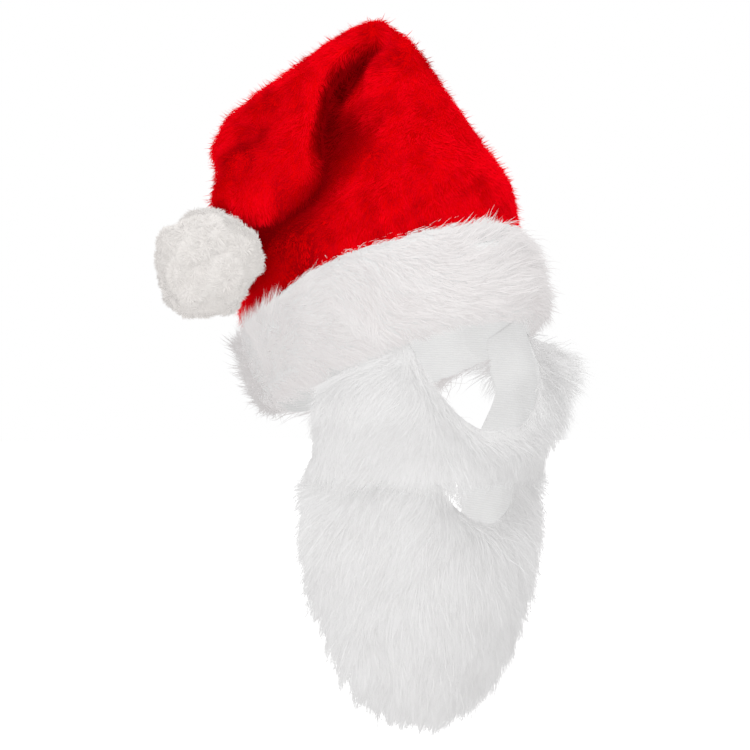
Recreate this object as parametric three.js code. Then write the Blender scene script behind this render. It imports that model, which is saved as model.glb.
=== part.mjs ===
// Hat and beard of a Christmas costume: a red plush hat folded over to one side, with a white fur
// band and a pompom, and a white fur beard whose side strips are sewn up inside the band.
// Millimetres. The wearer faces -Y, the wearer's left is +X and +Z is up. The origin is the middle
// of the band, on the head.
import * as THREE from "three";
import { mergeVertices } from "three/addons/utils/BufferGeometryUtils.js";

// Head and hat cloth
const headHalfWidth = 81; // inside of the hat, for a head 58 cm round
const headHalfDepth = 101;
const headTilt = 20; // degrees, brow high and nape low
const clothWall = 3;
const seamGap = 0.3;

// Fur band
const bandHeight = 74;
const bandFur = 13; // depth of the pile at the middle of the band
const browDip = 5; // the band is this much narrower over the brow, at its upper edge
const napeDip = 11; // and this much at the nape
const crownTuck = 24; // the hat's cloth is sewn this far down inside a band of full height
const brimRise = 8; // and stands upright this far above it
const snugCloth = 86; // dents and swells begin this far up from the cloth's rim

// Fold of the crown towards the wearer's right
const foldRadius = 15;
const foldHalfThickness = 11;
const ridgeYaw = 19; // degrees, back end of the ridge swung to the wearer's right
const ridgePitch = 31; // degrees, front end of the ridge higher
const ridgeHinge = { x: -21, y: 53, z: 147.5 };

// Pompom
const pompomRadius = 31.5;
const pompomLump = 1.6;
const lumpSpacing = { x: 7, y: 6, z: 8 };
const pompomCentre = { x: -112, y: 60, z: 39.5 };

// Beard panels
const backingWall = 2;
const seamHeight = -102; // the moustache's lower edge, at the mouth
const sideEdge = 86; // degrees from the nose to the panels' back edges
const stripTuck = 20; // the side strips reach this far up inside the band
const stripRoom = 1.4; // room between them and the inside of the band
const stripEase = 24; // they draw in towards the head from this far below the band
const stripBare = 8; // and have no pile from this far below it
const edgeRound = 22; // the pile thins out over this distance from a free edge
const openingRound = 18; // over this distance from the eye and mouth openings
const seamRound = 9; // and over this distance from the seam
const seamPile = 3; // as if the pile began this far beyond the seam

// Mesh steps
const hatColumns = 36;
const ringsPerRow = 2;
const panelColumns = 34;
const facePanelRows = 10;
const tuckedRows = 2;
const beardRows = 12;
const pompomDetail = 4;
const slopeStep = 1; // between the places where a curve's direction is read

// Crown sections from the rim up: middle of the section, half length fore and aft, half width
// across, pitch and yaw of its length, lean as the cloth turns over the fold, in degrees, and how
// square its ends are, where 2 is an ellipse.
const brimSections = [
  { height: bandHeight / 2 - crownTuck },
  { height: bandHeight / 2 },
  { height: bandHeight / 2 + brimRise },
];
const bodySections = [
  { x: 0, y: 15, z: 58, long: 103, wide: 82, pitch: 21, yaw: 3, lean: 0, square: 2 },
  { x: -1, y: 20, z: 76, long: 95, wide: 67, pitch: 23, yaw: 7, lean: 0, square: 2 },
  { x: -2, y: 31, z: 97, long: 89, wide: 53, pitch: 25, yaw: 11, lean: 0, square: 2 },
  { x: -3, y: 42, z: 119, long: 82, wide: 37, pitch: 27, yaw: 15, lean: 0, square: 2.2 },
];
const foldSections = [
  { lean: 0, long: 76, wide: 14, square: 2.4 },
  { lean: 45, long: 71, wide: foldHalfThickness, square: 3 },
  { lean: 90, long: 69, wide: foldHalfThickness, square: 3.8 },
  { lean: 145, long: 66, wide: foldHalfThickness, square: 3.3 },
];
const tailSections = [
  { x: -41.5, y: 62.5, z: 142.5, long: 59, wide: 12, pitch: 29, yaw: 15, lean: 148, square: 2.8 },
  { x: -52, y: 63, z: 127, long: 50, wide: 13, pitch: 23, yaw: 11, lean: 147, square: 2.6 },
  { x: -62.4, y: 54.7, z: 112, long: 41.5, wide: 14, pitch: 15, yaw: 10, lean: 146, square: 2.4 },
  { x: -73.4, y: 47.6, z: 95.5, long: 36.5, wide: 14, pitch: 8, yaw: 10, lean: 146, square: 2.2 },
  { x: -84.4, y: 46, z: 81, long: 30, wide: 13, pitch: 2, yaw: 14, lean: 148, square: 2 },
  { x: -94, y: 49.5, z: 71, long: 17, wide: 10, pitch: -4, yaw: 20, lean: 150, square: 2 },
];

// Dents and swells of the crown: distance up its middle line and degrees round the section where
// each is centred, how far it reaches along and round, and how far it goes out.
const crownFolds = [
  { at: 140, round: 284, along: 28, degrees: 28, out: -13 },
  { at: 150, round: 322, along: 40, degrees: 14, out: 4 },
  { at: 208, round: 100, along: 14, degrees: 40, out: 3 },
  { at: 225, round: 142, along: 10, degrees: 34, out: -3 },
  { at: 231, round: 96, along: 11, degrees: 26, out: -8 },
  { at: 258, round: 90, along: 16, degrees: 40, out: 3 },
];

// Band profile: height from its middle, pile out from the hat's cloth, and how far its inner
// side reaches in towards the head, under the cloth's edge
const bandInner = clothWall + seamGap;
const bandSeam = bandHeight / 2 - crownTuck - seamGap;
const bandProfile = [
  { height: -bandHeight / 2, pile: 2, inner: bandInner },
  { height: -35, pile: 7, inner: bandInner },
  { height: -27, pile: 11, inner: bandInner },
  { height: -11, pile: bandFur, inner: bandInner },
  { height: bandSeam, pile: bandFur, inner: bandInner },
  { height: bandSeam, pile: bandFur - 0.1, inner: 0 },
  { height: 26, pile: 11, inner: 0 },
  { height: 34, pile: 7, inner: 0 },
  { height: bandHeight / 2, pile: 2, inner: 0 },
];

// Backing of the beard by height: half width, front of its curve, depth of its curve and pile
const beardLevels = [
  { z: -270, halfWidth: 13, front: -40, depth: 9, fur: 10 },
  { z: -258, halfWidth: 32, front: -51, depth: 40, fur: 12 },
  { z: -233, halfWidth: 54, front: -66, depth: 60, fur: 15 },
  { z: -192, halfWidth: 68, front: -81, depth: 88, fur: 16 },
  { z: -140, halfWidth: 75, front: -92, depth: 104, fur: 16 },
  { z: -104, halfWidth: 75, front: -95, depth: 105, fur: 15 },
  { z: -80, halfWidth: 80, front: -102, depth: 101, fur: 16 },
  { z: -50, halfWidth: 86, front: -109, depth: 97, fur: 20 },
  { z: -20, halfWidth: 84, front: -111, depth: 101, fur: 16 },
  { z: 10, halfWidth: 80, front: -104, depth: 104, fur: 12 },
];

// Lower edge of the eye opening and upper edge of the beard at the mouth, by degrees from the nose
const eyeEdge = [
  { angle: 0, z: -71 },
  { angle: 14, z: -69 },
  { angle: 24, z: -61 },
  { angle: 35, z: -43 },
  { angle: 44, z: -22 },
  { angle: 50, z: 6 },
];
const mouthEdge = [
  { angle: 0, z: -132 },
  { angle: 8, z: -130 },
  { angle: 16, z: -125 },
  { angle: 23, z: -117 },
  { angle: 28, z: seamHeight },
];

const red = new THREE.MeshStandardMaterial({ color: 0xc8000f, roughness: 0.9, metalness: 0 });
const white = new THREE.MeshStandardMaterial({ color: 0xf2f1ef, roughness: 0.95, metalness: 0 });

function radians(degrees) {
  return THREE.MathUtils.degToRad(degrees);
}

// Smooth value of a table's column at a place along its key column
function lookup(rows, key, value, column) {
  let i = 0;
  while (i < rows.length - 2 && value > rows[i + 1][key]) i += 1;
  const slope = (k) => {
    const before = rows[Math.max(0, k - 1)];
    const after = rows[Math.min(rows.length - 1, k + 1)];
    return (after[column] - before[column]) / (after[key] - before[key]);
  };
  const span = rows[i + 1][key] - rows[i][key];
  const f = THREE.MathUtils.clamp((value - rows[i][key]) / span, 0, 1);
  const start = rows[i][column] * (1 + 2 * f) * (1 - f) ** 2;
  const end = rows[i + 1][column] * f * f * (3 - 2 * f);
  const leave = slope(i) * span * f * (1 - f) ** 2;
  const reach = slope(i + 1) * span * f * f * (1 - f);
  return start + end + leave - reach;
}

// Rises from 0 at a free edge to 1 further in, as a quarter circle
function rounded(distance, reach) {
  const f = THREE.MathUtils.clamp(distance / reach, 0, 1);
  return Math.sqrt(1 - (1 - f) ** 2);
}

// Cosine or sine of an ellipse whose ends are squared off
function squared(value, square) {
  return Math.sign(value) * Math.abs(value) ** (2 / square);
}

// Closed body from an outer and an inner grid of points. Rows run upwards and columns run to the
// right as seen from outside; a wrapped grid is a tube and may end in two tips.
function shell(name, material, outer, inner, { wrapped = false, tips = null } = {}) {
  const rows = outer.length;
  const columns = outer[0].length;
  const points = [...outer.flat(), ...inner.flat(), ...(tips ?? [])];
  const triangles = [];
  const quad = (a, b, c, d) => triangles.push(a, b, c, a, c, d);
  const o = (r, c) => r * columns + (c % columns);
  const n = (r, c) => rows * columns + o(r, c);
  const last = rows - 1;
  for (let c = 0; c < (wrapped ? columns : columns - 1); c += 1) {
    for (let r = 0; r < last; r += 1) {
      quad(o(r, c), o(r, c + 1), o(r + 1, c + 1), o(r + 1, c));
      quad(n(r, c), n(r + 1, c), n(r + 1, c + 1), n(r, c + 1));
    }
    quad(o(0, c), n(0, c), n(0, c + 1), o(0, c + 1));
    if (tips) {
      const outerTip = 2 * rows * columns;
      triangles.push(o(last, c), o(last, c + 1), outerTip);
      triangles.push(n(last, c + 1), n(last, c), outerTip + 1);
    } else {
      quad(o(last, c), o(last, c + 1), n(last, c + 1), n(last, c));
    }
  }
  if (!wrapped) {
    const side = columns - 1;
    for (let r = 0; r < last; r += 1) {
      quad(o(r, 0), o(r + 1, 0), n(r + 1, 0), n(r, 0));
      quad(o(r, side), n(r, side), n(r + 1, side), o(r + 1, side));
    }
  }
  const geometry = new THREE.BufferGeometry().setFromPoints(points);
  geometry.setIndex(triangles);
  geometry.computeVertexNormals();
  const mesh = new THREE.Mesh(geometry, material);
  mesh.name = name;
  return mesh;
}

// Axes of a crown section: along its length to the back, across it, and onward along the cloth
function sectionAxes({ pitch, yaw, lean }) {
  const p = radians(pitch);
  const w = radians(yaw);
  const t = radians(lean);
  const back = new THREE.Vector3(-Math.sin(w) * Math.cos(p), Math.cos(w) * Math.cos(p), -Math.sin(p));
  const near = new THREE.Vector3(-Math.cos(w), -Math.sin(w), 0);
  const up = new THREE.Vector3().crossVectors(back, near);
  const across = near.clone().multiplyScalar(-Math.cos(t)).addScaledVector(up, Math.sin(t));
  const onward = up.clone().multiplyScalar(Math.cos(t)).addScaledVector(near, Math.sin(t));
  return { back, near, up, across, onward };
}

const bandTurn = { pitch: headTilt, yaw: 0, lean: 0 };
const bandAxes = sectionAxes(bandTurn);

function crownRows() {
  const ridge = { pitch: ridgePitch, yaw: ridgeYaw };
  const { near, up } = sectionAxes({ ...ridge, lean: 0 });
  const fold = foldSections.map((row) => {
    const t = radians(row.lean);
    const middle = new THREE.Vector3(ridgeHinge.x, ridgeHinge.y, ridgeHinge.z)
      .addScaledVector(near, -foldRadius * Math.cos(t))
      .addScaledVector(up, foldRadius * Math.sin(t));
    return { ...ridge, ...row, x: middle.x, y: middle.y, z: middle.z };
  });
  const upright = { long: headHalfDepth + clothWall, wide: headHalfWidth + clothWall, square: 2 };
  const brim = brimSections.map(({ height }) => {
    const middle = bandAxes.onward.clone().multiplyScalar(height);
    return { ...bandTurn, ...upright, x: middle.x, y: middle.y, z: middle.z };
  });
  let at = 0;
  return [...brim, ...bodySections, ...fold, ...tailSections].map((row, k, all) => {
    const before = all[Math.max(0, k - 1)];
    at += Math.hypot(row.x - before.x, row.y - before.y, row.z - before.z);
    return { ...row, at };
  });
}

function crownRing(rows, at, wall) {
  const value = (column) => lookup(rows, "at", at, column);
  const { back, across } = sectionAxes({ pitch: value("pitch"), yaw: value("yaw"), lean: value("lean") });
  const middle = new THREE.Vector3(value("x"), value("y"), value("z"));
  const loose = rounded(at - snugCloth, bandHeight / 2);
  return Array.from({ length: hatColumns }, (_, c) => {
    const round = (360 * c) / hatColumns;
    let out = -wall;
    for (const fold of crownFolds) {
      const turn = ((round - fold.round + 540) % 360) - 180;
      const share = Math.exp(-(((at - fold.at) / fold.along) ** 2) - (turn / fold.degrees) ** 2);
      out += fold.out * share * loose;
    }
    return middle
      .clone()
      .addScaledVector(back, -(value("long") + out) * squared(Math.cos(radians(round)), value("square")))
      .addScaledVector(across, (value("wide") + out) * squared(Math.sin(radians(round)), value("square")));
  });
}

function crown() {
  const rows = crownRows();
  const last = rows.length - 1;
  const places = rows.slice(1).flatMap((row, k) => {
    const step = (row.at - rows[k].at) / ringsPerRow;
    return Array.from({ length: ringsPerRow }, (_, j) => rows[k].at + j * step);
  });
  places.push(rows[last].at);
  const outer = places.map((at) => crownRing(rows, at, 0));
  const inner = places.map((at) => crownRing(rows, at, clothWall));
  const end = rows[last];
  const { onward } = sectionAxes(end);
  const middle = new THREE.Vector3(end.x, end.y, end.z);
  const innerTip = middle.clone().addScaledVector(onward, clothWall);
  const outerTip = middle.clone().addScaledVector(onward, 2 * clothWall);
  return shell("crown", red, outer, inner, { wrapped: true, tips: [outerTip, innerTip] });
}

// Point of the band: round the head from the brow, up its slope and out from the hat's cloth. Above
// the cloth's seam it is drawn down to the dipped upper edge.
function bandPoint(round, height, out) {
  const { back, across, onward } = bandAxes;
  const dip = THREE.MathUtils.lerp(browDip, napeDip, (1 - Math.cos(radians(round))) / 2);
  const above = Math.max(0, height - bandSeam) / (bandHeight / 2 - bandSeam);
  const long = headHalfDepth + clothWall + seamGap + out;
  const wide = headHalfWidth + clothWall + seamGap + out;
  return new THREE.Vector3()
    .addScaledVector(back, -long * Math.cos(radians(round)))
    .addScaledVector(across, wide * Math.sin(radians(round)))
    .addScaledVector(onward, height - dip * above);
}

function furBand() {
  const grid = (out) =>
    bandProfile.map((row) =>
      Array.from({ length: hatColumns }, (_, c) => bandPoint((360 * c) / hatColumns, row.height, out(row))),
    );
  const outer = grid((row) => row.pile);
  const inner = grid((row) => -row.inner);
  return shell("fur_band", white, outer, inner, { wrapped: true });
}

function pompom() {
  const geometry = new THREE.IcosahedronGeometry(pompomRadius, pompomDetail);
  geometry.deleteAttribute("normal");
  geometry.deleteAttribute("uv");
  const place = geometry.getAttribute("position");
  const point = new THREE.Vector3();
  for (let i = 0; i < place.count; i += 1) {
    point.fromBufferAttribute(place, i);
    const { x, y, z } = point.clone().divide(lumpSpacing);
    point.setLength(pompomRadius + pompomLump * Math.sin(x) * Math.sin(y) * Math.sin(z));
    place.setXYZ(i, point.x, point.y, point.z);
  }
  geometry.translate(pompomCentre.x, pompomCentre.y, pompomCentre.z);
  const mesh = new THREE.Mesh(mergeVertices(geometry), white);
  mesh.geometry.computeVertexNormals();
  mesh.name = "pompom";
  return mesh;
}

// Height of the band's lower edge above a point of the backing
function bandEdge(point) {
  const tilt = radians(headTilt);
  return (-bandHeight / 2 - point.y * Math.sin(tilt)) / Math.cos(tilt);
}

// Point of the beard's backing, by degrees from the nose and height. Towards the band it draws in
// to lie against the inside of the band.
function backing(angle, z) {
  const halfWidth = lookup(beardLevels, "z", z, "halfWidth");
  const depth = lookup(beardLevels, "z", z, "depth");
  const front = lookup(beardLevels, "z", z, "front");
  const a = radians(angle);
  const point = new THREE.Vector3(halfWidth * Math.sin(a), front + depth * (1 - Math.cos(a)), z);
  const side = point.dot(bandAxes.across);
  const along = point.dot(bandAxes.back);
  const spread = Math.hypot(side / headHalfWidth, along / headHalfDepth);
  const room = 1 - (backingWall + stripRoom) / headHalfWidth;
  const drawn = THREE.MathUtils.smoothstep(z - bandEdge(point), -stripEase, -stripBare);
  const pull = drawn * Math.min(0, room / spread - 1);
  return point.addScaledVector(bandAxes.across, side * pull).addScaledVector(bandAxes.back, along * pull);
}

function backingNormal(angle, z) {
  const sideways = backing(angle + slopeStep, z).sub(backing(angle - slopeStep, z));
  const upwards = backing(angle, z + slopeStep).sub(backing(angle, z - slopeStep));
  return sideways.cross(upwards).normalize();
}

// Panel between a lower and an upper edge. Each edge gives its height by degrees from the nose and
// the distance over which the pile thins out towards it; a seam thins the pile only a little. The
// rows above openRows are inside the band.
function panel(name, rows, openRows, lower, upper) {
  const pileAt = (distance, edge) => rounded(distance + edge.start, edge.reach);
  const grid = (pile) =>
    Array.from({ length: rows + 1 }, (_, r) =>
      Array.from({ length: panelColumns + 1 }, (__, c) => {
        const angle = sideEdge * ((2 * c) / panelColumns - 1);
        const low = lower(Math.abs(angle));
        const high = upper(Math.abs(angle));
        const bare = bandEdge(backing(angle, bandEdge(backing(angle, high.z)))) - stripBare;
        const even = low.z + ((high.z - low.z) * openRows) / rows;
        const knee = high.z > bare ? bare : even;
        const z =
          r <= openRows
            ? low.z + ((knee - low.z) * r) / openRows
            : knee + ((high.z - knee) * (r - openRows)) / (rows - openRows);
        const point = backing(angle, z);
        if (!pile) return point;
        const toSide = radians(sideEdge - Math.abs(angle)) * headHalfDepth;
        const share =
          rounded(toSide, edgeRound) *
          pileAt(z - low.z, low) *
          pileAt(high.z - z, high) *
          rounded(bandEdge(point) - stripBare - z, edgeRound);
        const out = backingWall + lookup(beardLevels, "z", z, "fur") * share;
        return point.addScaledVector(backingNormal(angle, z), out);
      }),
    );
  return shell(name, white, grid(true), grid(false));
}

const seam = { z: seamHeight, start: seamPile, reach: seamRound };
const freeEdge = { start: 0, reach: edgeRound };
const openingEdge = { start: 0, reach: openingRound };

function facePanel() {
  const lastEye = eyeEdge[eyeEdge.length - 1].angle;
  const upper = (turn) => {
    if (turn < lastEye) return { ...openingEdge, z: lookup(eyeEdge, "angle", turn, "z") };
    return { ...freeEdge, z: bandEdge(backing(turn, 0)) + stripTuck };
  };
  const lower = () => ({ ...seam, z: seamHeight + seamGap });
  return panel("face_panel", facePanelRows, facePanelRows - tuckedRows, lower, upper);
}

function chinBeard() {
  const lastMouth = mouthEdge[mouthEdge.length - 1].angle;
  const upper = (turn) => {
    if (turn < lastMouth) return { ...openingEdge, z: lookup(mouthEdge, "angle", turn, "z") };
    return seam;
  };
  const lower = () => ({ ...freeEdge, z: beardLevels[0].z });
  return panel("chin_beard", beardRows, beardRows, lower, upper);
}

const hat = new THREE.Group();
hat.add(crown(), furBand(), pompom(), facePanel(), chinBeard());
export default hat;
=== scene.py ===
from math import cos, radians, sin

import bmesh
import bpy
import numpy as np
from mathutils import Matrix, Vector, noise
from mathutils.bvhtree import BVHTree
from mathutils.kdtree import KDTree


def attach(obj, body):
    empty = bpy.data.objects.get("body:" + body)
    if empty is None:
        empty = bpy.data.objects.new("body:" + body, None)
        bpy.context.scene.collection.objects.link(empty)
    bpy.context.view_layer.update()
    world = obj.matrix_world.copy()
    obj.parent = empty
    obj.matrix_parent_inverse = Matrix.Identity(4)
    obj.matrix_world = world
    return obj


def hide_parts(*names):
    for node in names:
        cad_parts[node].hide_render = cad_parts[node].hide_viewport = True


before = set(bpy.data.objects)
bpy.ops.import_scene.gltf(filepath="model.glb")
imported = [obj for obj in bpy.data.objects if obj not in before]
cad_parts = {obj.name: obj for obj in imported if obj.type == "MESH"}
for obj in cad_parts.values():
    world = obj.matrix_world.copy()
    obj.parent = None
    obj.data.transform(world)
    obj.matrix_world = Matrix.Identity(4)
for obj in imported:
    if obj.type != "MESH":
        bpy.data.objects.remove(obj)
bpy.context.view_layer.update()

scene = bpy.context.scene


# vectors in rows
def unit(v):
    return v / np.maximum(np.linalg.norm(v, axis=-1, keepdims=True), 1e-9)


def flat(direction, normal):  # a direction laid onto the surface
    d = np.broadcast_to(np.asarray(direction, float), normal.shape)
    return unit(d - normal * (d * normal).sum(-1, keepdims=True))


def swirl(p, size, seed, waves=5):  # slow random vectors that change over about this size
    rng = np.random.default_rng(seed)
    out = np.zeros_like(p)
    for axis in range(3):
        for _ in range(waves):
            k = rng.normal(size=3) * 3.0 / size
            out[:, axis] += np.sin(p @ k + rng.uniform(0, 6.28))
    return out / 2.2  # mostly between -1 and 1


def stirred(p, rows):  # swirls added up: the share, size and seed of each
    return sum(share * swirl(p, size, seed) for share, size, seed in rows)


def ease(x, low, high):
    f = np.clip((x - low) / (high - low), 0, 1)
    return f * f * (3 - 2 * f)


def nearness(p, centre, size):  # 1 at the centre, fading out over this size
    return np.exp(-(np.linalg.norm(p - centre, axis=-1) / size) ** 2)


goldenTurn = 2.39996  # spreads points evenly over a disc or a ball
down = np.array((0, 0, -1.0))

# the band slopes up to the brow, and its upper edge dips towards the nape
tilt = radians(20)
bandUp = np.array((0, sin(tilt), cos(tilt)))
bandBack = np.array((0, cos(tilt), -sin(tilt)))
bandHalf = 0.037
edgeBelow, edgeDip, napeLower = 0.008, 0.003, 0.0065
headWide, headDeep = 0.081, 0.101
seamHeight = -0.102  # between the moustache and the beard


def napeDrop(p):
    return napeLower * ease(p @ bandBack, -0.02, 0.012)


def bandTop(p):
    return bandHalf - edgeBelow - edgeDip * np.clip(p @ bandBack / headDeep, -1, 1) - napeDrop(p)


def outward(p):  # level, away from the head
    return unit(p * (1 / headWide ** 2, 1 / headDeep ** 2, 0))


# nodes
def feed(tree, value, socket):  # from another node, or a plain value
    if isinstance(value, bpy.types.NodeSocket):
        tree.links.new(value, socket)
    else:
        socket.default_value = value


def blend(tree, share, first, second, kind="MIX"):
    mix = tree.nodes.new("ShaderNodeMix")
    mix.data_type = "RGBA"
    mix.blend_type = kind
    feed(tree, share, mix.inputs[0])
    feed(tree, first, mix.inputs[6])
    feed(tree, second, mix.inputs[7])
    return mix.outputs[2]


def stepUp(tree, value, low, high):  # 0 up to low, 1 from high on
    step = tree.nodes.new("ShaderNodeMapRange")
    feed(tree, value, step.inputs["Value"])
    feed(tree, low, step.inputs["From Min"])
    feed(tree, high, step.inputs["From Max"])
    return step.outputs["Result"]


def noiseTexture(tree, place, scale, detail):
    texture = tree.nodes.new("ShaderNodeTexNoise")
    feed(tree, place, texture.inputs["Vector"])
    feed(tree, scale, texture.inputs["Scale"])
    feed(tree, detail, texture.inputs["Detail"])
    return texture.outputs[0]


def bumped(tree, height, depth):
    bump = tree.nodes.new("ShaderNodeBump")
    feed(tree, height, bump.inputs["Height"])
    feed(tree, depth, bump.inputs["Distance"])
    return bump.outputs[0]


# effects that several materials share
def newGroup(name, inputs, outputs):
    group = bpy.data.node_groups.new(name, "ShaderNodeTree")
    for label, kind in inputs:
        group.interface.new_socket(label, in_out="INPUT", socket_type="NodeSocket" + kind)
    for label, kind in outputs:
        group.interface.new_socket(label, in_out="OUTPUT", socket_type="NodeSocket" + kind)
    given = group.nodes.new("NodeGroupInput").outputs
    result = group.nodes.new("NodeGroupOutput").inputs
    return group, given, result


def makeStrandGroup():
    # a colour from root to tip, darker at the root as painted shade down among the strands, times a tone that
    # goes with the place across the map
    group, given, result = newGroup(
        "strand shade",
        (("Place", "Vector"),
         ("Root", "Color"), ("Middle", "Color"), ("Tip", "Color"), ("Middle At", "Float"),
         ("Darkest", "Color"), ("Dark", "Color"), ("Light", "Color"), ("Lightest", "Color"),
         ("Dark At", "Float"), ("Light At", "Float")),
        (("Color", "Color"),))
    split = group.nodes.new("ShaderNodeSeparateXYZ")
    feed(group, given["Place"], split.inputs[0])
    across, along = split.outputs["X"], split.outputs["Y"]
    colour = blend(group, stepUp(group, along, 0, given["Middle At"]), given["Root"], given["Middle"])
    colour = blend(group, stepUp(group, along, given["Middle At"], 1), colour, given["Tip"])
    tone = blend(group, stepUp(group, across, 0, given["Dark At"]), given["Darkest"], given["Dark"])
    tone = blend(group, stepUp(group, across, given["Dark At"], given["Light At"]), tone, given["Light"])
    tone = blend(group, stepUp(group, across, given["Light At"], 1), tone, given["Lightest"])
    feed(group, blend(group, 1, colour, tone, "MULTIPLY"), result["Color"])
    return group


def makePileGroup():
    # pile seen from between its strands: blotches of tone, and a fine rough height
    group, given, result = newGroup(
        "pile mottle",
        (("Place", "Vector"), ("Dark", "Color"), ("Light", "Color"),
         ("Blotch Scale", "Float"), ("Rough Scale", "Float"), ("Rough Depth", "Float")),
        (("Color", "Color"), ("Normal", "Vector")))
    blotch = noiseTexture(group, given["Place"], given["Blotch Scale"], 4)
    rough = noiseTexture(group, given["Place"], given["Rough Scale"], 2)
    colour = blend(group, stepUp(group, blotch, 0.32, 0.68), given["Dark"], given["Light"])
    feed(group, colour, result["Color"])
    feed(group, bumped(group, rough, given["Rough Depth"]), result["Normal"])
    return group


def makeKnitGroup():
    # knitted wrong side: rows of small loops, darker between the rows
    group, given, result = newGroup(
        "knit rows",
        (("Place", "Vector"), ("Dark", "Color"), ("Light", "Color"),
         ("Row Scale", "Float"), ("Row Depth", "Float")),
        (("Color", "Color"), ("Normal", "Vector")))
    rows = group.nodes.new("ShaderNodeTexWave")
    rows.bands_direction = "Z"
    feed(group, given["Place"], rows.inputs["Vector"])
    feed(group, given["Row Scale"], rows.inputs["Scale"])
    feed(group, 1.5, rows.inputs["Distortion"])
    feed(group, 2, rows.inputs["Detail Scale"])
    height = rows.outputs[1]
    blotch = noiseTexture(group, given["Place"], 30, 5)
    cloth = blend(group, stepUp(group, blotch, 0.3, 0.7), given["Dark"], given["Light"])
    between = blend(group, stepUp(group, height, 0, 0.6), (0.95, 0.95, 0.95, 1), (1, 1, 1, 1))
    feed(group, blend(group, 1, cloth, between, "MULTIPLY"), result["Color"])
    feed(group, bumped(group, height, given["Row Depth"]), result["Normal"])
    return group


strandGroup, pileGroup, knitGroup = makeStrandGroup(), makePileGroup(), makeKnitGroup()


# materials
def newMaterial(name, roughness):
    material = bpy.data.materials.new(name)
    material.use_nodes = True
    shader = material.node_tree.nodes["Principled BSDF"]
    shader.inputs["Roughness"].default_value = roughness
    shader.inputs["Specular IOR Level"].default_value = 0.0
    return material, material.node_tree, shader


def placeGroup(tree, group, place, values):
    node = tree.nodes.new("ShaderNodeGroup")
    node.node_tree = group
    feed(tree, place, node.inputs["Place"])
    for label, value in values.items():
        feed(tree, (*value, 1) if isinstance(value, tuple) else value, node.inputs[label])
    return node.outputs


def strandMaterial(name, values):
    # the map runs up each strand from root to tip, and across it in columns of tone
    material, tree, shader = newMaterial(name, 0.8)
    strandMap = tree.nodes.new("ShaderNodeUVMap")
    strandMap.uv_map = "OFBake"
    shade = placeGroup(tree, strandGroup, strandMap.outputs["UV"], values)
    feed(tree, shade["Color"], shader.inputs["Base Color"])
    return material


def clothMaterial(name, group, roughness, values, foldShade=None):
    material, tree, shader = newMaterial(name, roughness)
    place = tree.nodes.new("ShaderNodeTexCoord")
    cloth = placeGroup(tree, group, place.outputs["Object"], values)
    colour = cloth["Color"]
    if foldShade:  # painted shade: darker down in the folds
        openShare = tree.nodes.new("ShaderNodeAttribute")
        openShare.attribute_name = "measure"
        light = openShare.outputs["Fac"]
        (deepAt, deepTone), (halfAt, halfTone), (openAt, openTone) = foldShade
        shade = blend(tree, stepUp(tree, light, deepAt, halfAt), (*deepTone, 1), (*halfTone, 1))
        shade = blend(tree, stepUp(tree, light, halfAt, openAt), shade, (*openTone, 1))
        colour = blend(tree, 1, colour, shade, "MULTIPLY")
    feed(tree, colour, shader.inputs["Base Color"])
    feed(tree, cloth["Normal"], shader.inputs["Normal"])
    return material


# every strand material darkens from tip to root: painted shade down among the strands
whiteStrand = strandMaterial("white strands", {
    "Root": (0.82, 0.81, 0.81), "Middle": (0.852, 0.845, 0.845), "Tip": (0.87, 0.863, 0.863),
    "Darkest": (0.93, 0.925, 0.925), "Dark": (0.955, 0.9515, 0.9515), "Light": (0.98, 0.978, 0.978),
    "Lightest": (1, 1, 1), "Middle At": 0.5, "Dark At": 0.25, "Light At": 0.5})
# the band's strands carry a faint pink: a painted reflection of the red crown
bandStrand = strandMaterial("band strands", {
    "Root": (0.82, 0.78, 0.775), "Middle": (0.852, 0.824, 0.822), "Tip": (0.87, 0.85, 0.848),
    "Darkest": (0.93, 0.915, 0.915), "Dark": (0.955, 0.944, 0.944), "Light": (0.98, 0.973, 0.973),
    "Lightest": (1, 1, 1), "Middle At": 0.5, "Dark At": 0.25, "Light At": 0.5})
# the red tones reach near black for the painted shade of the crown's folds, under its tail and in patches
redStrand = strandMaterial("red strands", {
    "Root": (0.8, 0.0003, 0.002), "Middle": (0.93, 0.0006, 0.005), "Tip": (0.99, 0.0012, 0.013),
    "Darkest": (0.1, 0.08, 0.08), "Dark": (0.34, 0.3, 0.3), "Light": (0.66, 0.6, 0.6),
    "Lightest": (1, 1, 1), "Middle At": 0.45, "Dark At": 0.3, "Light At": 0.6})
pompomStrand = strandMaterial("pompom strands", {
    "Root": (0.79, 0.755, 0.73), "Middle": (0.845, 0.81, 0.785), "Tip": (0.87, 0.84, 0.815),
    "Darkest": (0.95, 0.945, 0.94), "Dark": (0.9625, 0.95875, 0.955), "Light": (0.975, 0.9725, 0.97),
    "Lightest": (1, 1, 1), "Middle At": 0.6, "Dark At": 0.25, "Light At": 0.5})
whitePile = clothMaterial("white undercoat", pileGroup, 0.9, {
    "Dark": (0.81, 0.8, 0.8), "Light": (0.855, 0.85, 0.848),
    "Blotch Scale": 1 / 0.012, "Rough Scale": 1 / 0.0015, "Rough Depth": 0.001})
# the red undercoat takes painted shade in its folds from the measure of open sky
redPile = clothMaterial("red undercoat", pileGroup, 0.85, {
    "Dark": (0.62, 0.0003, 0.001), "Light": (0.9, 0.0005, 0.003),
    "Blotch Scale": 1 / 0.02, "Rough Scale": 1 / 0.001, "Rough Depth": 0.001},
    ((0.2, (0.15, 0.12, 0.12)), (0.6, (0.5, 0.45, 0.45)), (0.95, (1, 1, 1))))
pompomPile = clothMaterial("pompom undercoat", pileGroup, 0.9, {
    "Dark": (0.78, 0.745, 0.72), "Light": (0.84, 0.805, 0.78),
    "Blotch Scale": 1 / 0.01, "Rough Scale": 1 / 0.0015, "Rough Depth": 0.001})
knitScale = 0.314 / 0.0016  # rows 1.6 mm apart
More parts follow.
